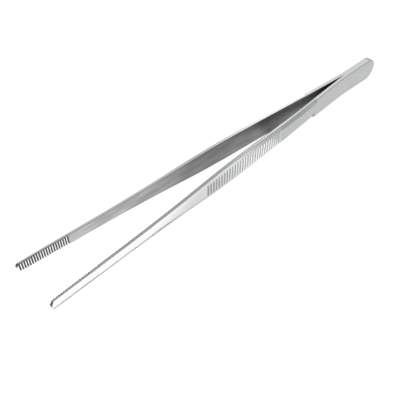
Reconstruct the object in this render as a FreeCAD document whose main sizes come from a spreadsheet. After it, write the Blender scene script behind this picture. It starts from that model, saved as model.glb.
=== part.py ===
"""Long thumb forceps, lying on its side.

Two slim steel arms are welded face to face at a flat rounded heel. Each arm bends
away from the other just past the weld, carries cross ribs on its outside for the
grip, and ends in a narrow jaw with cross teeth on its inside.

Both arms are the same body. It is drawn with the tip at x = 0, the heel towards +X,
the meeting face of the weld on y = 0, the outside towards +Y and its width along Z.
The second arm is that body turned half a turn about its own length.
"""
import FreeCAD, Part
import os
import math
import Sketcher
from FreeCAD import Rotation, Vector

# Driving sizes, in millimetres and degrees
SIZES = {
    "total_length": 250.0,
    "opening": 26.0,             # between the two inner faces at the tips
    "weld_length": 28.5,         # heel end to the fork
    "spring_angle": 4.05,        # how far each arm leans out past the fork
    "fork_radius": 40.0,         # of the bend at the fork
    "set_position": 150.0,       # where the arm is set back towards the other one
    "heel_width": 14.2,
    "heel_thickness": 2.2,       # of one arm
    "heel_corner": 6.9,
    "heel_edge": 0.6,            # rounding of the heel's outer edges
    "tip_blunting": 0.15,        # how much more than half the tip's width its nose radius is
    "rib_pitch": 2.05,
    "rib_groove": 1.35,          # width of a groove between two ribs
    "rib_depth": 0.45,
    "tooth_pitch": 1.25,
    "tooth_groove": 0.95,
    "tooth_depth": 0.42,
}

# Sections of the arm from the tip to the step where the outer bevels stop:
# name, place along the arm, width, height of the narrow side, thickness,
# width of the flat on the outside, radius of the bevel between flat and side.
# At the step the blade is as thick as the spring that it grows out of.
SECTIONS = (
    ("tip", 0.0, 5.0, 1.3, 2.0, 0.6, 3.6),
    ("jaw", 26.5, 5.7, 1.45, 2.15, 0.7, 4.8),
    ("neck", 60.0, 6.8, 1.6, 2.4, 0.8, 6.4),
    ("shoulder", 78.0, 8.4, 1.65, 2.45, 2.6, 10.0),
    ("grip_front", 95.0, 10.6, 1.7, 2.45, 5.6, 20.0),
    ("grip_middle", 125.0, 13.0, 1.65, 2.4, 7.8, 40.0),
    ("grip_back", 155.5, 12.8, 1.5, 2.5, 8.0, 40.0),
    ("step", 188.5, 12.6, 1.1, None, 6.4, 30.0),
)

MARGIN = 1.0        # how far a cutting sketch reaches past the metal it cuts
HEEL_END = 0.4      # the least straight stretch between the heel's two corners
SHEET = "Sizes"


def ref(name):
    """The expression that reads one size from the sheet."""
    return f"{SHEET}.{name}"


def fill_sheet(doc):
    """Every driving size in one spreadsheet, each cell under its own name."""
    sheet = doc.addObject("Spreadsheet::Sheet", SHEET)
    values = dict(SIZES)
    for name, place, width, side, thickness, flat, bevel in SECTIONS:
        values[f"{name}_place"] = place
        values[f"{name}_width"] = width
        values[f"{name}_side"] = side
        if thickness is not None:
            values[f"{name}_thickness"] = thickness
        values[f"{name}_flat"] = flat
        values[f"{name}_bevel"] = bevel
    for row, (name, value) in enumerate(values.items(), start=1):
        sheet.set(f"A{row}", name)
        sheet.set(f"B{row}", str(value))
        sheet.setAlias(f"B{row}", name)
    doc.recompute()
    return sheet


def gap_expression(place):
    """Half the gap between the arms at a place, as an expression.

    From the fork the arm runs out in a straight line at the spring angle as far as
    the set, and from there in a second straight line to half the opening at the tip.
    """
    lean = f"tan({ref('spring_angle')} * 1 deg)"
    half_lean = f"tan({ref('spring_angle')} * 0.5 deg)"
    corner = f"({ref('total_length')} - {ref('weld_length')} - {ref('fork_radius')} * {half_lean})"
    at_set = f"({lean} * ({corner} - {ref('set_position')}))"
    front = f"(({ref('opening')} / 2 - {at_set}) / {ref('set_position')})"
    on_front = f"({ref('opening')} / 2 - {front} * {place})"
    on_spring = f"({lean} * ({corner} - {place}))"
    return f"({place} < {ref('set_position')} ? {on_front} : {on_spring})"


class Arm:
    """One arm: a body whose sketches are all bound to the sheet."""

    def __init__(self, doc, sheet, label):
        self.doc = doc
        self.sheet = sheet
        self.body = doc.addObject("PartDesign::Body", label)
        self.body.Label = label

    def size(self, name):
        """The number that the sheet holds under a name."""
        return float(self.sheet.get(name))

    def gap(self, place):
        """Half the gap between the arms at a place, as a number."""
        lean = math.tan(math.radians(self.size("spring_angle")))
        set_place = self.size("set_position")
        if place >= set_place:
            return lean * (self.fork_corner() - place)
        at_set = lean * (self.fork_corner() - set_place)
        half_opening = self.size("opening") / 2
        return half_opening - (half_opening - at_set) * place / set_place

    def fork_corner(self):
        """Where the heel's face and the spring's face would meet without the bend."""
        tangent = self.size("fork_radius") * math.tan(math.radians(self.size("spring_angle") / 2))
        return self.size("total_length") - self.size("weld_length") - tangent

    def plane(self, role):
        """One of the body's own origin planes."""
        return next(item for item in self.body.Origin.OriginFeatures if item.Role == role)

    def sketch(self, name, role):
        """An empty sketch on an origin plane of the body."""
        item = self.body.newObject("Sketcher::SketchObject", f"{self.body.Name}_{name}")
        item.AttachmentSupport = (self.plane(role), [""])
        item.MapMode = "FlatFace"
        return item

    def closed_lines(self, sketch, points):
        """A closed chain of straight lines through the points; returns their numbers."""
        first = sketch.GeometryCount
        count = len(points)
        for index, start in enumerate(points):
            end = points[(index + 1) % count]
            sketch.addGeometry(Part.LineSegment(Vector(*start), Vector(*end)))
        for index in range(count):
            follower = first + (index + 1) % count
            sketch.addConstraint(Sketcher.Constraint("Coincident", first + index, 2, follower, 1))
        return list(range(first, first + count))

    def bind(self, sketch, constraint, expression):
        """Adds a measured constraint and ties it to an expression."""
        index = sketch.addConstraint(constraint)
        sketch.setExpression(f"Constraints[{index}]", expression)
        return index

    def heel(self):
        """The heel and the spring: a bent strip, trimmed to its outline and rounded."""
        end = self.size("total_length") + MARGIN
        fork = self.size("total_length") - self.size("weld_length")
        step = self.size("step_place")
        radius = self.size("fork_radius")
        thickness = self.size("heel_thickness")
        lean = math.radians(self.size("spring_angle"))
        rise = self.gap(step)
        slant = thickness / math.cos(lean)
        centre = Vector(fork, radius, 0)
        bend_end = Vector(fork - radius * math.sin(lean), radius * (1 - math.cos(lean)), 0)
        outer = radius - thickness
        outer_end = Vector(fork - outer * math.sin(lean), radius - outer * math.cos(lean), 0)
        up = Vector(0, 0, 1)
        turn = (1.5 * math.pi - lean, 1.5 * math.pi)

        sketch = self.sketch("side_profile", "XY_Plane")
        sketch.addGeometry([
            Part.LineSegment(Vector(end, 0, 0), Vector(fork, 0, 0)),
            Part.ArcOfCircle(Part.Circle(centre, up, radius), *turn),
            Part.LineSegment(bend_end, Vector(step, rise, 0)),
            Part.LineSegment(Vector(step, rise, 0), Vector(step, rise + slant, 0)),
            Part.LineSegment(Vector(step, rise + slant, 0), outer_end),
            Part.ArcOfCircle(Part.Circle(centre, up, outer), *turn),
            Part.LineSegment(Vector(fork, thickness, 0), Vector(end, thickness, 0)),
            Part.LineSegment(Vector(end, thickness, 0), Vector(end, 0, 0)),
        ])
        (inner_line, inner_arc, inner_spring, step_line,
         outer_spring, outer_arc, outer_line, end_line) = range(8)
        sketch.addConstraint([
            Sketcher.Constraint("Tangent", inner_line, 2, inner_arc, 2),
            Sketcher.Constraint("Tangent", inner_arc, 1, inner_spring, 1),
            Sketcher.Constraint("Coincident", inner_spring, 2, step_line, 1),
            Sketcher.Constraint("Coincident", step_line, 2, outer_spring, 1),
            Sketcher.Constraint("Tangent", outer_spring, 2, outer_arc, 1),
            Sketcher.Constraint("Tangent", outer_arc, 2, outer_line, 1),
            Sketcher.Constraint("Coincident", outer_line, 2, end_line, 1),
            Sketcher.Constraint("Coincident", end_line, 2, inner_line, 1),
            Sketcher.Constraint("PointOnObject", inner_line, 1, -1),
            Sketcher.Constraint("Horizontal", inner_line),
            Sketcher.Constraint("Vertical", step_line),
            Sketcher.Constraint("Vertical", end_line),
            Sketcher.Constraint("Horizontal", outer_line),
            Sketcher.Constraint("Coincident", inner_arc, 3, outer_arc, 3),
            Sketcher.Constraint("Parallel", inner_spring, outer_spring),
        ])
        self.bind(sketch, Sketcher.Constraint("DistanceX", -1, 1, inner_line, 1, end),
                  f"{ref('total_length')} + {MARGIN}")
        self.bind(sketch, Sketcher.Constraint("DistanceX", -1, 1, inner_line, 2, fork),
                  f"{ref('total_length')} - {ref('weld_length')}")
        self.bind(sketch, Sketcher.Constraint("Radius", inner_arc, radius), ref("fork_radius"))
        self.bind(sketch, Sketcher.Constraint("DistanceX", -1, 1, step_line, 1, step), ref("step_place"))
        self.bind(sketch, Sketcher.Constraint("DistanceY", -1, 1, step_line, 1, rise),
                  gap_expression(ref("step_place")))
        self.bind(sketch, Sketcher.Constraint("DistanceY", end_line, 2, end_line, 1, thickness),
                  ref("heel_thickness"))

        strip = self.body.newObject("PartDesign::Pad", f"{self.body.Name}_strip")
        strip.Profile = sketch
        strip.SideType = "Symmetric"
        strip.setExpression("Length", f"{ref('heel_width')} + 2 * {MARGIN}")
        self.doc.recompute()

        trimmed = self.pocket("heel_trim", self.heel_outline())
        self.doc.recompute()
        self.round_heel(trimmed)

    def heel_corner(self):
        """The rounding of the heel's corners, which its width limits."""
        return min(self.size("heel_corner"), (self.size("heel_width") - HEEL_END) / 2)

    def heel_outline(self):
        """What is ground off the strip: all that lies outside the heel's outline.

        The outline runs straight from the step, out to the round end of the heel.
        """
        step = self.size("step_place")
        radius = self.heel_corner()
        corner_expression = f"min({ref('heel_corner')}; ({ref('heel_width')} - {HEEL_END}) / 2)"
        half_step = self.size("step_width") / 2
        side = self.size("heel_width") / 2 - radius
        round_end = self.size("total_length") - radius
        reach = self.size("heel_width") / 2 + 2 * MARGIN
        low = step - 2 * MARGIN
        high = self.size("total_length") + 2 * MARGIN

        sketch = self.sketch("heel_outline", "XZ_Plane")
        frame = self.closed_lines(sketch, [(low, -reach), (high, -reach), (high, reach), (low, reach)])
        sketch.addConstraint([
            Sketcher.Constraint("Horizontal", frame[0]),
            Sketcher.Constraint("Horizontal", frame[2]),
            Sketcher.Constraint("Vertical", frame[3]),
            Sketcher.Constraint("Symmetric", frame[0], 2, frame[1], 2, -1),
        ])
        self.bind(sketch, Sketcher.Constraint("DistanceX", -1, 1, frame[0], 1, low),
                  f"{ref('step_place')} - 2 * {MARGIN}")
        self.bind(sketch, Sketcher.Constraint("DistanceX", -1, 1, frame[0], 2, high),
                  f"{ref('total_length')} + 2 * {MARGIN}")
        self.bind(sketch, Sketcher.Constraint("DistanceY", frame[1], 1, frame[1], 2, 2 * reach),
                  f"{ref('heel_width')} + 4 * {MARGIN}")

        span = Vector(round_end - step, side - half_step, 0)
        slope = math.atan2(span.y, span.x) + math.asin(radius / span.Length)
        touch = Vector(round_end - radius * math.sin(slope), side + radius * math.cos(slope), 0)
        start = Vector(step - MARGIN, half_step - MARGIN * math.tan(slope), 0)
        low_touch = Vector(touch.x, -touch.y, 0)
        low_start = Vector(start.x, -start.y, 0)
        up = Vector(0, 0, 1)
        upper_circle = Part.Circle(Vector(round_end, side, 0), up, radius)
        lower_circle = Part.Circle(Vector(round_end, -side, 0), up, radius)
        quarter = math.pi / 2
        first = sketch.GeometryCount
        sketch.addGeometry([
            Part.LineSegment(start, touch),
            Part.ArcOfCircle(upper_circle, 0, quarter + slope),
            Part.LineSegment(Vector(round_end + radius, side, 0), Vector(round_end + radius, -side, 0)),
            Part.ArcOfCircle(lower_circle, -quarter - slope, 0),
            Part.LineSegment(low_touch, low_start),
            Part.LineSegment(low_start, start),
        ])
        upper, upper_arc, end, lower_arc, lower, start_line = range(first, first + 6)
        step_line = sketch.addGeometry(
            Part.LineSegment(Vector(step, -half_step, 0), Vector(step, half_step, 0)), True)
        sketch.addConstraint([
            Sketcher.Constraint("Tangent", upper, 2, upper_arc, 2),
            Sketcher.Constraint("Tangent", upper_arc, 1, end, 1),
            Sketcher.Constraint("Tangent", end, 2, lower_arc, 2),
            Sketcher.Constraint("Tangent", lower_arc, 1, lower, 1),
            Sketcher.Constraint("Coincident", lower, 2, start_line, 1),
            Sketcher.Constraint("Coincident", start_line, 2, upper, 1),
            Sketcher.Constraint("Vertical", end),
            Sketcher.Constraint("Vertical", start_line),
            Sketcher.Constraint("Symmetric", upper_arc, 3, lower_arc, 3, -1),
            Sketcher.Constraint("Symmetric", step_line, 1, step_line, 2, -1),
            Sketcher.Constraint("PointOnObject", step_line, 1, lower),
            Sketcher.Constraint("PointOnObject", step_line, 2, upper),
        ])
        self.bind(sketch, Sketcher.Constraint("Radius", upper_arc, radius), corner_expression)
        self.bind(sketch, Sketcher.Constraint("DistanceX", -1, 1, end, 1, round_end + radius),
                  ref("total_length"))
        self.bind(sketch, Sketcher.Constraint("DistanceX", -1, 1, start_line, 1, start.x),
                  f"{ref('step_place')} - {MARGIN}")
        self.bind(sketch, Sketcher.Constraint("DistanceX", -1, 1, step_line, 1, step), ref("step_place"))
        self.bind(sketch, Sketcher.Constraint("DistanceY", step_line, 1, step_line, 2, 2 * half_step),
                  ref("step_width"))
        self.bind(sketch, Sketcher.Constraint("DistanceY", lower_arc, 3, upper_arc, 3, 2 * side),
                  f"{ref('heel_width')} - 2 * {corner_expression}")
        return sketch

    def round_heel(self, base):
        """Rounds the edge all round the outside of the heel and the spring."""
        step = self.size("step_place")
        outside = [face for face in base.Shape.Faces if self.faces_outward(face)]
        shared = [edge.hashCode() for face in outside for edge in face.Edges]
        names = []
        for index, edge in enumerate(base.Shape.Edges, start=1):
            middle = edge.valueAt((edge.FirstParameter + edge.LastParameter) / 2)
            if shared.count(edge.hashCode()) == 1 and middle.x > step + MARGIN / 2:
                names.append(f"Edge{index}")
        fillet = self.body.newObject("PartDesign::Fillet", f"{self.body.Name}_heel_edge")
        fillet.Base = (base, names)
        fillet.setExpression("Radius", ref("heel_edge"))
        self.doc.recompute()

    @staticmethod
    def faces_outward(face):
        """Whether a face looks towards +Y more than along its length or its width."""
        first_u, last_u, first_v, last_v = face.ParameterRange
        normal = face.normalAt((first_u + last_u) / 2, (first_v + last_v) / 2)
        return normal.y > max(abs(normal.x), abs(normal.z))

    def blade(self):
        """The arm from the step to the tip: one loft along the grip, one for the slim front."""
        names = [row[0] for row in SECTIONS]
        sketches = {name: self.section(name) for name in names}
        front = names.index("grip_front")
        for title, run in (("grip_blade", names[front:]), ("front_blade", names[:front + 1])):
            ordered = [sketches[name] for name in reversed(run)]
            loft = self.body.newObject("PartDesign::AdditiveLoft", f"{self.body.Name}_{title}")
            loft.Profile = ordered[0]
            loft.Sections = ordered[1:]
            loft.Ruled = False
            self.doc.recompute()

    def section(self, name):
        """One section of the blade: flat inside, narrow sides, bevels and a flat outside."""
        place = self.size(f"{name}_place")
        gap = self.gap(place)
        half = self.size(f"{name}_width") / 2
        side = self.size(f"{name}_side")
        thickness = self.section_thickness(name)
        flat = self.size(f"{name}_flat") / 2
        radius = self.size(f"{name}_bevel")

        sketch = self.sketch(f"{name}_section", "YZ_Plane")
        sketch.setExpression(".AttachmentOffset.Base.z", ref(f"{name}_place"))
        shoulder = Vector(gap + side, half, 0)
        crest = Vector(gap + thickness, flat, 0)
        low_shoulder = Vector(gap + side, -half, 0)
        low_crest = Vector(gap + thickness, -flat, 0)
        sketch.addGeometry([
            Part.LineSegment(Vector(gap, -half, 0), Vector(gap, half, 0)),
            Part.LineSegment(Vector(gap, half, 0), shoulder),
            self.bevel_arc(crest, shoulder, radius),
            Part.LineSegment(crest, low_crest),
            self.bevel_arc(low_shoulder, low_crest, radius),
            Part.LineSegment(low_shoulder, Vector(gap, -half, 0)),
        ])
        inside, upper_side, upper_bevel, outside, lower_bevel, lower_side = range(6)
        sketch.addConstraint([
            Sketcher.Constraint("Coincident", inside, 2, upper_side, 1),
            Sketcher.Constraint("Coincident", upper_side, 2, upper_bevel, 2),
            Sketcher.Constraint("Coincident", upper_bevel, 1, outside, 1),
            Sketcher.Constraint("Coincident", outside, 2, lower_bevel, 2),
            Sketcher.Constraint("Coincident", lower_bevel, 1, lower_side, 1),
            Sketcher.Constraint("Coincident", lower_side, 2, inside, 1),
            Sketcher.Constraint("Horizontal", upper_side),
            Sketcher.Constraint("Horizontal", lower_side),
            Sketcher.Constraint("Symmetric", inside, 1, inside, 2, -1),
            Sketcher.Constraint("Symmetric", outside, 1, outside, 2, -1),
            Sketcher.Constraint("Equal", upper_side, lower_side),
            Sketcher.Constraint("Equal", upper_bevel, lower_bevel),
        ])
        self.bind(sketch, Sketcher.Constraint("DistanceX", -1, 1, inside, 1, gap),
                  gap_expression(ref(f"{name}_place")))
        self.bind(sketch, Sketcher.Constraint("DistanceY", inside, 1, inside, 2, 2 * half),
                  ref(f"{name}_width"))
        self.bind(sketch, Sketcher.Constraint("DistanceX", upper_side, 1, upper_side, 2, side),
                  ref(f"{name}_side"))
        self.bind(sketch, Sketcher.Constraint("DistanceX", inside, 1, outside, 2, thickness),
                  self.thickness_expression(name))
        self.bind(sketch, Sketcher.Constraint("DistanceY", outside, 2, outside, 1, 2 * flat),
                  ref(f"{name}_flat"))
        self.bind(sketch, Sketcher.Constraint("Radius", upper_bevel, radius), ref(f"{name}_bevel"))
        return sketch

    def section_thickness(self, name):
        """How thick the blade is at a section; at the step it is as thick as the spring."""
        if name == "step":
            return self.size("heel_thickness") / math.cos(math.radians(self.size("spring_angle")))
        return self.size(f"{name}_thickness")

    @staticmethod
    def thickness_expression(name):
        """The expression behind section_thickness."""
        if name == "step":
            return f"{ref('heel_thickness')} / cos({ref('spring_angle')} * 1 deg)"
        return ref(f"{name}_thickness")

    @staticmethod
    def bevel_arc(start, end, radius):
        """The arc that bulges outwards from start to end, counter-clockwise."""
        middle = (start + end) * 0.5
        chord = end - start
        inward = Vector(-chord.y, chord.x, 0).normalize()
        depth = math.sqrt(radius ** 2 - (chord.Length / 2) ** 2)
        centre = middle + inward * depth
        first = math.atan2(start.y - centre.y, start.x - centre.x)
        last = math.atan2(end.y - centre.y, end.x - centre.x)
        return Part.ArcOfCircle(Part.Circle(centre, Vector(0, 0, 1), radius), first, last)

    def pocket(self, name, sketch):
        """Cuts a sketch right through the arm, both ways, and proves that it cut."""
        before = self.body.Shape.Volume
        cut = self.body.newObject("PartDesign::Pocket", f"{self.body.Name}_{name}")
        cut.Profile = sketch
        cut.Type = "ThroughAll"
        cut.SideType = "Symmetric"
        self.doc.recompute()
        if self.body.Shape.Volume >= before:
            raise RuntimeError(f"{name} cut nothing")
        return cut

    def nose(self):
        """Rounds the outline of the tip."""
        radius = self.size("tip_width") / 2 + self.size("tip_blunting")
        radius_expression = f"{ref('tip_width')} / 2 + {ref('tip_blunting')}"
        sketch = self.sketch("nose_outline", "XZ_Plane")
        sketch.setExpression(".AttachmentOffset.Base.x", ref("tip_place"))
        reach = radius + MARGIN
        sketch.addGeometry([
            Part.ArcOfCircle(Part.Circle(Vector(radius, 0, 0), Vector(0, 0, 1), radius),
                             math.pi / 2, 1.5 * math.pi),
            Part.LineSegment(Vector(radius, -radius, 0), Vector(radius, -reach, 0)),
            Part.LineSegment(Vector(radius, -reach, 0), Vector(-MARGIN, -reach, 0)),
            Part.LineSegment(Vector(-MARGIN, -reach, 0), Vector(-MARGIN, reach, 0)),
            Part.LineSegment(Vector(-MARGIN, reach, 0), Vector(radius, reach, 0)),
            Part.LineSegment(Vector(radius, reach, 0), Vector(radius, radius, 0)),
        ])
        arc, lower, bottom, front, top, upper = range(6)
        sketch.addConstraint([
            Sketcher.Constraint("Coincident", arc, 2, lower, 1),
            Sketcher.Constraint("Coincident", lower, 2, bottom, 1),
            Sketcher.Constraint("Coincident", bottom, 2, front, 1),
            Sketcher.Constraint("Coincident", front, 2, top, 1),
            Sketcher.Constraint("Coincident", top, 2, upper, 1),
            Sketcher.Constraint("Coincident", upper, 2, arc, 1),
            Sketcher.Constraint("Vertical", lower),
            Sketcher.Constraint("Horizontal", bottom),
            Sketcher.Constraint("Horizontal", top),
            Sketcher.Constraint("Vertical", upper),
            Sketcher.Constraint("PointOnObject", arc, 3, -1),
            Sketcher.Constraint("Symmetric", front, 1, front, 2, -1),
            Sketcher.Constraint("Symmetric", arc, 1, arc, 2, arc, 3),
            Sketcher.Constraint("Vertical", arc, 1, arc, 2),
        ])
        self.bind(sketch, Sketcher.Constraint("Radius", arc, radius), radius_expression)
        self.bind(sketch, Sketcher.Constraint("DistanceX", -1, 1, arc, 3, radius), radius_expression)
        sketch.addConstraint(Sketcher.Constraint("DistanceX", front, 1, -1, 1, MARGIN))
        sketch.addConstraint(Sketcher.Constraint("DistanceY", upper, 2, upper, 1, MARGIN))
        self.pocket("nose", sketch)

    def repeat(self, name, cut, sketch, pitch, count):
        """Repeats a groove along the first axis of its sketch."""
        pattern = self.body.newObject("PartDesign::LinearPattern", f"{self.body.Name}_{name}")
        pattern.Originals = [cut]
        pattern.Direction = (sketch, ["H_Axis"])
        pattern.Mode = "Spacing"
        pattern.Occurrences = count
        pattern.setExpression("Offset", ref(pitch))
        self.body.Tip = pattern
        self.doc.recompute()

    def slanted_sketch(self, name, place, height, slope):
        """A sketch seen from the side, with its origin and first axis on a slanted face."""
        sketch = self.sketch(name, "XY_Plane")
        sketch.AttachmentOffset = FreeCAD.Placement(Vector(0, 0, 0), Rotation(Vector(0, 0, 1), -1))
        sketch.setExpression(".AttachmentOffset.Base.x", place)
        sketch.setExpression(".AttachmentOffset.Base.y", height)
        sketch.setExpression(".AttachmentOffset.Rotation.Angle", f"atan({slope})")
        return sketch

    def grip(self):
        """Round grooves across the outside that leave the ribs of the grip."""
        front, back = ref("grip_front_place"), ref("grip_back_place")
        low = f"({gap_expression(front)} + {ref('grip_front_thickness')})"
        high = f"({gap_expression(back)} + {ref('grip_back_thickness')})"
        sketch = self.slanted_sketch("rib_groove", front, low, f"({high} - {low}) / ({back} - {front})")

        half = self.size("rib_groove") / 2
        depth = self.size("rib_depth")
        centre = self.size("rib_pitch") / 2
        radius = (half ** 2 + depth ** 2) / (2 * depth)
        swing = math.asin(half / radius)
        left, right = centre - half, centre + half
        circle = Part.Circle(Vector(centre, radius - depth, 0), Vector(0, 0, 1), radius)
        sketch.addGeometry([
            Part.ArcOfCircle(circle, 1.5 * math.pi - swing, 1.5 * math.pi + swing),
            Part.LineSegment(Vector(right, 0, 0), Vector(right, MARGIN, 0)),
            Part.LineSegment(Vector(right, MARGIN, 0), Vector(left, MARGIN, 0)),
            Part.LineSegment(Vector(left, MARGIN, 0), Vector(left, 0, 0)),
        ])
        floor, rise, top, fall = range(4)
        sketch.addConstraint([
            Sketcher.Constraint("Coincident", floor, 2, rise, 1),
            Sketcher.Constraint("Coincident", rise, 2, top, 1),
            Sketcher.Constraint("Coincident", top, 2, fall, 1),
            Sketcher.Constraint("Coincident", fall, 2, floor, 1),
            Sketcher.Constraint("Vertical", rise),
            Sketcher.Constraint("Horizontal", top),
            Sketcher.Constraint("Vertical", fall),
            Sketcher.Constraint("PointOnObject", rise, 1, -1),
            Sketcher.Constraint("PointOnObject", fall, 2, -1),
        ])
        half_width, deep = f"({ref('rib_groove')} / 2)", ref("rib_depth")
        self.bind(sketch, Sketcher.Constraint("Radius", floor, radius),
                  f"({half_width} * {half_width} + {deep} * {deep}) / (2 * {deep})")
        self.bind(sketch, Sketcher.Constraint("DistanceX", fall, 2, rise, 1, 2 * half), ref("rib_groove"))
        self.bind(sketch, Sketcher.Constraint("DistanceX", -1, 1, fall, 2, left),
                  f"({ref('rib_pitch')} - {ref('rib_groove')}) / 2")
        sketch.addConstraint(Sketcher.Constraint("DistanceY", rise, 1, rise, 2, MARGIN))
        cut = self.pocket("first_groove", sketch)
        length = self.size("grip_back_place") - self.size("grip_front_place")
        self.repeat("ribs", cut, sketch, "rib_pitch", int(length / self.size("rib_pitch")))

    def jaw(self, shift):
        """Sharp grooves across the inside of the tip that leave the teeth.

        The shift is a share of the pitch, so that the teeth of one arm fall into
        the grooves of the other.
        """
        tip, jaw = ref("tip_place"), ref("jaw_place")
        low, high = gap_expression(tip), gap_expression(jaw)
        sketch = self.slanted_sketch("tooth_groove", tip, low, f"({high} - {low}) / ({jaw} - {tip})")

        half = self.size("tooth_groove") / 2
        depth = self.size("tooth_depth")
        centre = shift * self.size("tooth_pitch")
        points = [
            (centre - half, -MARGIN),
            (centre + half, -MARGIN),
            (centre + half, 0),
            (centre, depth),
            (centre - half, 0),
        ]
        base, right, right_flank, left_flank, left = self.closed_lines(sketch, points)
        sketch.addConstraint([
            Sketcher.Constraint("Horizontal", base),
            Sketcher.Constraint("Vertical", right),
            Sketcher.Constraint("Vertical", left),
            Sketcher.Constraint("PointOnObject", right, 2, -1),
            Sketcher.Constraint("PointOnObject", left, 1, -1),
            Sketcher.Constraint("Equal", right_flank, left_flank),
        ])
        self.bind(sketch, Sketcher.Constraint("DistanceX", base, 1, base, 2, 2 * half), ref("tooth_groove"))
        self.bind(sketch, Sketcher.Constraint("DistanceX", -1, 1, right_flank, 2, centre),
                  f"{shift} * {ref('tooth_pitch')}")
        self.bind(sketch, Sketcher.Constraint("DistanceY", -1, 1, right_flank, 2, depth), ref("tooth_depth"))
        sketch.addConstraint(Sketcher.Constraint("DistanceY", base, 1, left, 1, MARGIN))
        cut = self.pocket("first_tooth", sketch)
        length = self.size("jaw_place") - self.size("tip_place")
        self.repeat("teeth", cut, sketch, "tooth_pitch", int(length / self.size("tooth_pitch")))

    def lay(self, turn):
        """Lays the arm on its widest place, centred over the origin, turned about its length."""
        widths = ["heel_width"] + [f"{row[0]}_width" for row in SECTIONS]
        self.body.Placement = FreeCAD.Placement(
            Vector(-self.size("total_length") / 2, 0, max(self.size(name) for name in widths) / 2),
            Rotation(Vector(1, 0, 0), turn),
        )
        self.body.setExpression(".Placement.Base.x", f"-{ref('total_length')} / 2")
        self.body.setExpression(".Placement.Base.z", f"max({'; '.join(ref(name) for name in widths)}) / 2")


def make_arm(doc, sheet, label, turn, tooth_shift):
    """One whole arm, in the order in which it is made."""
    arm = Arm(doc, sheet, label)
    arm.heel()
    arm.blade()
    arm.nose()
    arm.grip()
    arm.jaw(tooth_shift)
    arm.lay(turn)
    doc.recompute()
    return arm.body


def check(doc, bodies):
    """Stops if any object of the document failed or a piece isn't one valid solid."""
    for item in doc.Objects:
        if "Invalid" in item.State or "Error" in item.State:
            raise RuntimeError(f"{item.Label} failed: {item.State}")
    for body in bodies:
        shape = body.Shape
        if shape.isNull() or not shape.isValid() or len(shape.Solids) != 1:
            raise RuntimeError(f"{body.Label} is not one valid solid")


def main():
    doc = FreeCAD.newDocument("ThumbForceps")
    sheet = fill_sheet(doc)
    bodies = [
        make_arm(doc, sheet, "right_arm", 0, 1.0),
        make_arm(doc, sheet, "left_arm", 180, 0.5),
    ]
    check(doc, bodies)
    os.makedirs("parts", exist_ok=True)
    for body in bodies:
        body.Shape.exportStep(f"parts/{body.Label}.step")
        box = body.Shape.BoundBox
        print(body.Label, "volume", round(body.Shape.Volume, 1), "mm3, box",
              [round(value, 2) for value in (box.XMin, box.XMax, box.YMin, box.YMax, box.ZMin, box.ZMax)])


main()
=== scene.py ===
"""Looks of the long thumb forceps: satin steel on the two arms with painted light and shade, a floor
that shows the metal a painted reflection, soft light.

The arms lie along X with their tips towards -X. The camera looks down on them from
the tips' side. Everything is in metres.
"""
import bpy
import math
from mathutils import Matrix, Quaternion, Vector


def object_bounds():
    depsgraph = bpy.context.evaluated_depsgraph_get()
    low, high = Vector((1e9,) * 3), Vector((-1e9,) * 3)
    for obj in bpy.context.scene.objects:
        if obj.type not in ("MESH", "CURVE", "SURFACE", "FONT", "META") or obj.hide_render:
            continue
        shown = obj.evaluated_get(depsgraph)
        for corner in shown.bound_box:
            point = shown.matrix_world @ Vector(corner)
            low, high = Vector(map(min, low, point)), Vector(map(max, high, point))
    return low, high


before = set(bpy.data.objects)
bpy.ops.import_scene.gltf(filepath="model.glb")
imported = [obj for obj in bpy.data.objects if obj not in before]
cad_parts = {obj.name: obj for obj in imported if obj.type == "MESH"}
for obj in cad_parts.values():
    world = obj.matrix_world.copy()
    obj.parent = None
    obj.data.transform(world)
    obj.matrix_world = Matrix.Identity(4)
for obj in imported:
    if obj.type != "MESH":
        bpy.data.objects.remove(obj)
cad_low, cad_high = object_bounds()

TIP = cad_low[0]             # where the tips end, along X
FRONT = cad_low[1]           # where the near arm's outside ends, along Y
WHITE = (1.0, 1.0, 1.0, 1.0)


def past_tip(start, end):
    """Two places along X, given by how far they lie behind the tips."""
    return TIP + start, TIP + end


# Camera
CAMERA_AIM = Vector((-0.0361, -0.0117, 0.0071))
CAMERA_TURN = math.radians(43.38)        # from +Y towards +X
CAMERA_DROP = math.radians(46.83)        # below the horizontal
CAMERA_ROLL = math.radians(0.26)
CAMERA_DISTANCE = 0.2891
CAMERA_LENS = 52.14                      # in millimetres, like the sensor
CAMERA_SENSOR = 36.0
CAMERA_NEAREST = 0.01                    # what is nearer isn't seen


def add_camera():
    """The camera at the viewing angle of the reference picture."""
    look = Vector((
        math.sin(CAMERA_TURN) * math.cos(CAMERA_DROP),
        math.cos(CAMERA_TURN) * math.cos(CAMERA_DROP),
        -math.sin(CAMERA_DROP),
    ))
    data = bpy.data.cameras.new("camera")
    data.lens = CAMERA_LENS
    data.sensor_width = CAMERA_SENSOR
    data.clip_start = CAMERA_NEAREST
    camera = bpy.data.objects.new("camera", data)
    camera.location = CAMERA_AIM - look * CAMERA_DISTANCE
    level = look.to_track_quat("-Z", "Y")
    camera.rotation_euler = (level @ Quaternion((0.0, 0.0, 1.0), CAMERA_ROLL)).to_euler()
    bpy.context.scene.collection.objects.link(camera)
    bpy.context.scene.camera = camera


# Light
LAMP_DISTANCE = 0.9


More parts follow.
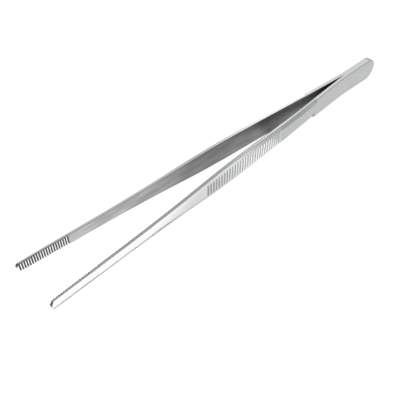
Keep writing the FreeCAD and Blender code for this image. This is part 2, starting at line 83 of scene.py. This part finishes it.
def add_softbox(name, turn, rise, width, height, radiance):
    """A square lamp that faces the forceps.

    It hangs in the direction given by its turn from -Y towards +X and its rise above
    the table, in degrees. Its radiance is what a mirror would show of it.
    """
    data = bpy.data.lights.new(name, "AREA")
    data.shape = "RECTANGLE"
    data.size = width
    data.size_y = height
    data.energy = radiance * width * height * math.pi
    lamp = bpy.data.objects.new(name, data)
    level = math.cos(math.radians(rise))
    away = Vector((
        math.sin(math.radians(turn)) * level,
        -math.cos(math.radians(turn)) * level,
        math.sin(math.radians(rise)),
    ))
    lamp.location = away * LAMP_DISTANCE
    lamp.rotation_euler = (-away).to_track_quat("-Z", "Y").to_euler()
    bpy.context.scene.collection.objects.link(lamp)


def add_lights():
    """Softboxes low in front and beside the forceps, behind grip and heel, and overhead."""
    add_softbox("front_softbox", turn=2.0, rise=20.0, width=0.90, height=0.62, radiance=2.8)
    add_softbox("side_softbox", turn=42.0, rise=34.0, width=0.42, height=0.50, radiance=0.80)
    add_softbox("grip_softbox", turn=127.0, rise=40.0, width=0.16, height=0.24, radiance=0.66)
    add_softbox("heel_softbox", turn=116.0, rise=30.0, width=0.30, height=0.28, radiance=0.60)
    add_softbox("top_softbox", turn=-60.0, rise=56.0, width=0.80, height=0.70, radiance=0.90)


# Nodes
OPENNESS_SAMPLES = 12


class Nodes:
    """Short calls that add nodes to one material or world and wire them."""

    def __init__(self, tree):
        self.nodes = tree.nodes
        self.links = tree.links
        self.nodes.clear()

    def add(self, kind):
        """A new node."""
        return self.nodes.new(kind)

    def feed(self, socket, value):
        """Wires a socket to another node's output, or sets it to a plain value."""
        if hasattr(value, "links"):
            self.links.new(value, socket)
        else:
            socket.default_value = value

    def math(self, operation, first, second):
        """One arithmetic step with two numbers; returns its output."""
        node = self.add("ShaderNodeMath")
        node.operation = operation
        self.feed(node.inputs[0], first)
        self.feed(node.inputs[1], second)
        return node.outputs["Value"]

    def times(self, first, second):
        """The product of two numbers."""
        return self.math("MULTIPLY", first, second)

    def ramp(self, value, start, end, low=0.0, high=1.0, smooth=True):
        """Runs from low to high while the value runs from start to end."""
        node = self.add("ShaderNodeMapRange")
        node.interpolation_type = "SMOOTHSTEP" if smooth else "LINEAR"
        self.feed(node.inputs["Value"], value)
        for name, number in (("From Min", start), ("From Max", end), ("To Min", low), ("To Max", high)):
            node.inputs[name].default_value = number
        return node.outputs["Result"]

    def blend(self, factor, first, second):
        """Mixes two numbers."""
        node = self.add("ShaderNodeMix")
        node.data_type = "FLOAT"
        self.feed(node.inputs[0], factor)
        self.feed(node.inputs[2], first)
        self.feed(node.inputs[3], second)
        return node.outputs[0]

    def noise(self, place, cells, turn=0.0, detail=3.0, roughness=0.6):
        """Cloudy noise, about 0.5 on average, with its own number of cells a metre on each axis."""
        stretched = self.add("ShaderNodeMapping")
        stretched.inputs["Scale"].default_value = cells
        stretched.inputs["Rotation"].default_value = (0.0, turn, 0.0)
        self.links.new(place, stretched.inputs["Vector"])
        node = self.add("ShaderNodeTexNoise")
        node.inputs["Scale"].default_value = 1.0
        node.inputs["Detail"].default_value = detail
        node.inputs["Roughness"].default_value = roughness
        self.links.new(stretched.outputs["Vector"], node.inputs["Vector"])
        return node.outputs["Fac"]

    def place(self):
        """Where the point lies in the part's own frame."""
        return self.add("ShaderNodeTexCoord").outputs["Object"]

    def parts(self, vector):
        """The X, Y and Z parts of a vector."""
        node = self.add("ShaderNodeSeparateXYZ")
        self.links.new(vector, node.inputs[0])
        return node.outputs

    def openness(self, reach, inside=False):
        """How open the space within reach is or, inside, how solid the metal is, from 0 to 1."""
        node = self.add("ShaderNodeAmbientOcclusion")
        node.samples = OPENNESS_SAMPLES
        node.inside = inside
        node.only_local = True
        node.inputs["Distance"].default_value = reach
        return node.outputs["AO"]

    def ray(self, kind):
        """1 for one kind of ray and 0 for all others."""
        return self.add("ShaderNodeLightPath").outputs[kind]

    def glow(self, kind, colour, strength):
        """A shader that glows; returns its output."""
        node = self.add(kind)
        node.inputs["Color"].default_value = colour
        self.feed(node.inputs["Strength"], strength)
        return node.outputs[0]

    def tint(self, brightness, colour):
        """A colour multiplied by a brightness."""
        node = self.add("ShaderNodeVectorMath")
        node.operation = "SCALE"
        node.inputs[0].default_value = colour
        self.feed(node.inputs["Scale"], brightness)
        return node.outputs["Vector"]


def new_material(name):
    """An empty node material; returns it with the calls that fill it."""
    material = bpy.data.materials.new(name)
    material.use_nodes = True
    return material, Nodes(material.node_tree)


# World
ROOM_COLOUR = (0.5742, 0.58, 0.58, 1.0)  # the grey room around the table


def set_world():
    """White for the camera, a plain grey room for everything else."""
    world = bpy.data.worlds.new("room")
    world.use_nodes = True
    kit = Nodes(world.node_tree)
    mix = kit.add("ShaderNodeMixShader")
    kit.feed(mix.inputs["Fac"], kit.ray("Is Camera Ray"))
    kit.feed(mix.inputs[1], kit.glow("ShaderNodeBackground", ROOM_COLOUR, 1.0))
    kit.feed(mix.inputs[2], kit.glow("ShaderNodeBackground", WHITE, 1.0))
    kit.feed(kit.add("ShaderNodeOutputWorld").inputs["Surface"], mix.outputs["Shader"])
    bpy.context.scene.world = world


# Floor
FLOOR_REACH = 1.5
FLOOR_COLOUR = (0.32, 0.32, 0.32, 1.0)   # what the lamps light, and where the shadow lies
FLOOR_WHITE = 0.84                       # added for the camera

# Painted reflection: the glow that only the metal sees on the table, and where along X it changes
TABLE_TIPS = 1.42                        # painted brightest by the tips, as if the front light fell there
TABLE_GRIP = 0.90                        # from the front ribs on
TABLE_REAR = 1.40                        # close to the rear ribs
TABLE_HEEL = 0.60                        # from the end of the grip to the heel
TABLE_DIM = 0.22                         # painted dim further in front of grip and heel, as if the table ended there
TIPS_TO_GRIP = past_tip(0.051, 0.095)
GRIP_TO_REAR = past_tip(0.100, 0.137)
REAR_TO_HEEL = past_tip(0.153, 0.161)
TABLE_END = past_tip(0.125, 0.175)
TIPS_SLANT = 1.1                         # metres that the tips' light reaches on, for each in front
CLOSE_BY = (FRONT - 0.035, FRONT - 0.005)    # along Y, from far to near


def painted_table_reflection(kit):
    """A painted reflection: how bright the metal sees the table, from place to place.

    It is painted brighter towards the tips, as if the front light fell there, and close to the rear
    ribs, and greyer in front of the heel, as if the table ended there.
    """
    place = kit.parts(kit.place())
    along, across = place["X"], place["Y"]
    in_front = kit.math("MINIMUM", kit.math("SUBTRACT", across, FRONT), 0.0)
    slanted = kit.math("ADD", along, kit.times(in_front, TIPS_SLANT))
    glow = kit.ramp(slanted, *TIPS_TO_GRIP, TABLE_TIPS, TABLE_GRIP)
    by_rear = kit.times(kit.ramp(across, *CLOSE_BY), kit.ramp(along, *GRIP_TO_REAR))
    glow = kit.blend(by_rear, glow, TABLE_REAR)
    glow = kit.blend(kit.ramp(along, *REAR_TO_HEEL), glow, TABLE_HEEL)
    past_end = kit.times(kit.ramp(across, *CLOSE_BY, 1.0, 0.0), kit.ramp(along, *TABLE_END))
    return kit.blend(past_end, glow, TABLE_DIM)


def floor_material():
    """A pale table top that the camera sees as white, with a soft shadow, and the metal sees with a
    painted reflection.
    """
    material, kit = new_material("floor_white")
    diffuse = kit.add("ShaderNodeBsdfDiffuse")
    diffuse.inputs["Color"].default_value = FLOOR_COLOUR
    for_metal = kit.times(kit.ray("Is Glossy Ray"), painted_table_reflection(kit))
    for_camera = kit.times(kit.ray("Is Camera Ray"), FLOOR_WHITE)
    glow = kit.glow("ShaderNodeEmission", WHITE, kit.math("ADD", for_metal, for_camera))
    both = kit.add("ShaderNodeAddShader")
    kit.feed(both.inputs[0], diffuse.outputs["BSDF"])
    kit.feed(both.inputs[1], glow)
    kit.feed(kit.add("ShaderNodeOutputMaterial").inputs["Surface"], both.outputs["Shader"])
    return material


def add_floor():
    """A square table top under the forceps."""
    mesh = bpy.data.meshes.new("floor")
    corners = [(x * FLOOR_REACH, y * FLOOR_REACH, 0) for x, y in ((-1, -1), (1, -1), (1, 1), (-1, 1))]
    mesh.from_pydata(corners, [], [(0, 1, 2, 3)])
    mesh.materials.append(floor_material())
    floor = bpy.data.objects.new("floor", mesh)
    bpy.context.scene.collection.objects.link(floor)


# Steel
STEEL = (0.570, 0.574, 0.576)            # reflectance of the polished steel
BRIGHTEST = 1.65                         # keeps the steel from reflecting more than all light
INWARD = (0.5, 0.9)                      # how much of a normal points inwards on inner faces
JAW_END = past_tip(0.0260, 0.0270)       # where the teeth end
GRIP_END = past_tip(0.1553, 0.1563)      # where the last rib ends

# Patterns, in cells a metre along X, Y and Z
FINE_LINES = (260.0, 9000.0, 9000.0)
COARSE_LINES = (55.0, 2300.0, 2300.0)
COARSE_TURN = 0.03                       # in radians, against the arm's own direction
CLOUDS = (70.0, 160.0, 220.0)
SPECKS = (900.0, 900.0, 900.0)
STREAKS = (45.0, 500.0, 500.0)
STREAK_TURN = -0.04
STREAK_SHARE = 0.6                       # the rest of a stain is cloud


class Surface:
    """Where a point of an arm lies, how it faces, and the patterns on it.

    The inner side is +1 where the arm's inner face looks towards +Y and -1 where it
    looks towards -Y. Inward is 1 on that face and 0 on all others.
    """

    def __init__(self, kit, inner_side):
        place = kit.place()
        self.along = kit.parts(place)["X"]
        self.facing = kit.parts(kit.add("ShaderNodeNewGeometry").outputs["True Normal"])
        self.inward = kit.ramp(kit.times(self.facing["Y"], float(inner_side)), *INWARD)
        fine = kit.noise(place, FINE_LINES)
        coarse = kit.noise(place, COARSE_LINES, COARSE_TURN)
        self.lines = kit.blend(0.5, fine, coarse)
        self.cloud = kit.noise(place, CLOUDS, roughness=0.55)
        self.speck = kit.noise(place, SPECKS, detail=2.0)
        streak = kit.noise(place, STREAKS, STREAK_TURN, detail=4.0)
        self.stain = kit.blend(STREAK_SHARE, self.cloud, streak)


# From low to high in the noise of each pattern
CLOUD_RANGE = (0.30, 0.70)
STAIN_RANGE = (0.34, 0.66)
LINE_RANGE = (0.32, 0.68)
SPECK_RANGE = (0.55, 0.75)

# Painted shade on the inner face, where the arms shade each other: its brightness as a share of the
# outer one's
INNER_FRONT = 0.54                       # behind the teeth
INNER_GRIP = 0.26                        # inside the grip
INNER_FORK = 0.74                        # in the fork, by the weld
JAW_PAINTED_HIGHLIGHT = 1.36                         # painted highlight on the lands between the teeth
FRONT_TO_GRIP = past_tip(0.080, 0.125)
GRIP_TO_FORK = past_tip(0.149, 0.195)

# What the patterns multiply the brightness by, from low to high
OUTER_CLOUD = (0.975, 1.02)
INNER_STAIN = (0.66, 1.24)
OUTER_LINES = (0.985, 1.015)
INNER_LINES = (0.95, 1.05)


def plain_brightness(kit, surface):
    """Even outside; inside, painted shade between the arms and a painted highlight at the jaw, with
    stains; both with grinding lines along the arm.
    """
    inner_painted_shade = kit.ramp(surface.along, *FRONT_TO_GRIP, INNER_FRONT, INNER_GRIP)
    inner_painted_shade = kit.blend(kit.ramp(surface.along, *GRIP_TO_FORK), inner_painted_shade, INNER_FORK)
    inner_painted_shade = kit.blend(kit.ramp(surface.along, *JAW_END), JAW_PAINTED_HIGHLIGHT, inner_painted_shade)
    inner = kit.times(inner_painted_shade, kit.ramp(surface.stain, *STAIN_RANGE, *INNER_STAIN, smooth=False))
    outer = kit.ramp(surface.cloud, *CLOUD_RANGE, *OUTER_CLOUD, smooth=False)
    outer_lines = kit.ramp(surface.lines, *LINE_RANGE, *OUTER_LINES, smooth=False)
    inner_lines = kit.ramp(surface.lines, *LINE_RANGE, *INNER_LINES, smooth=False)
    lines = kit.blend(surface.inward, outer_lines, inner_lines)
    return kit.times(kit.blend(surface.inward, outer, inner), lines)


# Grooves: painted shade in their floors and a painted highlight on the rear ribs' tops
GROOVE_REACH = 0.0010                    # how far apart the walls are that shade a groove
JAW_OPENNESS = (0.68, 0.93)              # from the floor of a groove to the land, in the jaw
GRIP_OPENNESS = (0.76, 0.97)             # the same in the grip
JAW_GROOVE = 0.32                        # share of the brightness that the painted shade leaves deep between the teeth
FRONT_GROOVE = 0.16                      # the same between the front ribs
REAR_GROOVE = 0.0                        # and between the rear ribs
RIB_PAINTED_HIGHLIGHT = 1.10                         # painted highlight on the tops of the rear ribs
NARROW_SIDE_UP = (0.60, 0.90)            # how far up a face looks that isn't a rib's top
JAW_TO_GRIP = past_tip(0.045, 0.075)
FRONT_TO_REAR = past_tip(0.121, 0.133)


def groove_shade(kit, surface):
    """Painted shade in the floors of the grooves, by how closed in they are, and a painted highlight on
    the tops of the rear ribs.
    """
    past_jaw = kit.ramp(surface.along, *JAW_TO_GRIP)
    past_grip = kit.ramp(surface.along, *GRIP_END)
    rear_ribs = kit.ramp(surface.along, *FRONT_TO_REAR)
    openness = kit.openness(GROOVE_REACH)
    in_jaw = kit.ramp(openness, *JAW_OPENNESS, smooth=False)
    in_grip = kit.ramp(openness, *GRIP_OPENNESS, smooth=False)
    groove = kit.ramp(surface.along, *JAW_TO_GRIP, JAW_GROOVE, FRONT_GROOVE)
    groove = kit.blend(past_grip, kit.blend(rear_ribs, groove, REAR_GROOVE), 1.0)
    land = kit.blend(past_grip, kit.blend(rear_ribs, 1.0, RIB_PAINTED_HIGHLIGHT), 1.0)
    land = kit.blend(kit.ramp(surface.facing["Z"], *NARROW_SIDE_UP), land, 1.0)
    return kit.blend(kit.blend(past_jaw, in_jaw, in_grip), groove, land)


# Lower edges: painted shade, standing in for the shadowed floor that they reflect
LOWER_FACING = (-0.16, -0.02)            # how far down a lower edge looks
LOWER_DARK = 0.25                        # share of the brightness that the painted shade leaves on the slim front's
LOWER_FRONT_RIBS = 0.42                  # how far the front ribs' lower edges are that dark
LOWER_REAR_RIBS = 0.62                   # the same of the rear ribs
SLIM_TO_GRIP = past_tip(0.060, 0.085)
LOWER_TO_REAR = past_tip(0.110, 0.135)
LOWER_END = past_tip(0.155, 0.163)


def lower_edge_shade(kit, surface):
    """Painted shade on the lower edges, most of all on those of the slim front."""
    dark = kit.ramp(surface.along, *SLIM_TO_GRIP, 1.0, LOWER_FRONT_RIBS)
    dark = kit.blend(kit.ramp(surface.along, *LOWER_TO_REAR), dark, LOWER_REAR_RIBS)
    dark = kit.times(dark, kit.ramp(surface.along, *LOWER_END, 1.0, 0.0))
    dark = kit.times(dark, kit.ramp(surface.facing["Z"], *LOWER_FACING, 1.0, 0.0))
    return kit.blend(dark, 1.0, LOWER_DARK)


# Upper narrow sides: a painted highlight in the middle and painted shade along the edges
EDGE_REACH = 0.0006                      # how wide the dark edges of a narrow side are
EDGE_DARK = 0.14                         # share of the brightness that the painted shade leaves on them
EDGE_TO_MIDDLE = (0.60, 0.95)            # how solid the metal is within that reach
UPPER_FACING = (0.80, 0.95)              # how far up a narrow side looks
UPPER_END = past_tip(0.170, 0.205)


def narrow_side_shade(kit, surface, side_highlight):
    """The upper narrow sides get a painted highlight in the middle and painted shade along their edges.
    """
    metal = kit.openness(EDGE_REACH, inside=True)
    middle = kit.ramp(metal, *EDGE_TO_MIDDLE, EDGE_DARK, side_highlight)
    upper = kit.ramp(surface.facing["Z"], *UPPER_FACING)
    upper = kit.times(upper, kit.ramp(surface.along, *UPPER_END, 1.0, 0.0))
    return kit.blend(upper, 1.0, middle)


# Faces cut square across and facing the tips: painted shade
CUT_FACING = (-0.80, -0.25)              # how far along X such a face looks
CUT_TIP = 0.10                           # share of the brightness that the painted shade leaves at the tips
CUT_STEP = 0.85                          # the same behind the grip
TIP_TO_STEP = past_tip(0.0, 0.175)


def cut_face_shade(kit, surface):
    """Painted shade on what is cut square across and faces the tips, darkest at the tips."""
    shade = kit.ramp(surface.along, *TIP_TO_STEP, CUT_TIP, CUT_STEP, smooth=False)
    return kit.blend(kit.ramp(surface.facing["X"], *CUT_FACING, 1.0, 0.0), 1.0, shade)


# Finish
OUTER_ROUGHNESS = (0.21, 0.29)           # over the clouds, from low to high
INNER_ROUGHNESS = (0.33, 0.42)
SPECK_ROUGHNESS = 0.03                   # added outside by the specks
RELIEF_STRENGTH = 0.05
RELIEF_HEIGHT = 0.00002


def roughness(kit, surface):
    """Satin outside with an uneven polish, and coarser inside."""
    satin = kit.ramp(surface.cloud, *CLOUD_RANGE, *OUTER_ROUGHNESS, smooth=False)
    specks = kit.ramp(surface.speck, *SPECK_RANGE, 0.0, SPECK_ROUGHNESS, smooth=False)
    coarser = kit.ramp(surface.cloud, *CLOUD_RANGE, *INNER_ROUGHNESS, smooth=False)
    return kit.blend(surface.inward, kit.math("ADD", satin, specks), coarser)


def relief(kit, surface):
    """The grinding lines in relief."""
    bump = kit.add("ShaderNodeBump")
    bump.inputs["Strength"].default_value = RELIEF_STRENGTH
    bump.inputs["Distance"].default_value = RELIEF_HEIGHT
    kit.feed(bump.inputs["Height"], surface.lines)
    return bump.outputs["Normal"]


def steel_material(name, inner_side, side_highlight):
    """Satin stainless steel, polished outside and coarser inside, with painted light and shade.

    The wheel that polishes the arms can't reach in between them, so the inner faces stay
    coarser; their darkness is painted shade between the arms. The grooves, lower edges, edges of
    the narrow upper sides and faces cut across carry painted shade, and the jaw's lands, rear rib
    tops and the middle of the narrow upper side a painted highlight. The last argument sets how
    bright that middle is against the outer face.
    """
    material, kit = new_material(name)
    surface = Surface(kit, inner_side)
    brightness = plain_brightness(kit, surface)
    brightness = kit.times(brightness, groove_shade(kit, surface))
    brightness = kit.times(brightness, lower_edge_shade(kit, surface))
    brightness = kit.times(brightness, narrow_side_shade(kit, surface, side_highlight))
    brightness = kit.times(brightness, cut_face_shade(kit, surface))
    brightness = kit.math("MINIMUM", brightness, BRIGHTEST)
    shader = kit.add("ShaderNodeBsdfPrincipled")
    kit.feed(shader.inputs["Metallic"], 1.0)
    kit.feed(shader.inputs["Base Color"], kit.tint(brightness, STEEL))
    kit.feed(shader.inputs["Roughness"], roughness(kit, surface))
    kit.feed(shader.inputs["Normal"], relief(kit, surface))
    kit.feed(kit.add("ShaderNodeOutputMaterial").inputs["Surface"], shader.outputs["BSDF"])
    return material


# The arms, and how bright the painted highlight on each one's narrow upper side is
LEFT_SIDE_HIGHLIGHT = 1.08
RIGHT_SIDE_HIGHLIGHT = 1.45


def dress_arms():
    """Gives both arms their steel."""
    for name, inner_side, side_highlight in (
        ("left_arm", 1, LEFT_SIDE_HIGHLIGHT),
        ("right_arm", -1, RIGHT_SIDE_HIGHLIGHT),
    ):
        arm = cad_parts[name]
        arm.data.materials.clear()
        arm.data.materials.append(steel_material(f"{name}_steel", inner_side, side_highlight))


add_camera()
set_world()
add_floor()
add_lights()
dress_arms()
bpy.context.scene.view_settings.view_transform = "Standard"
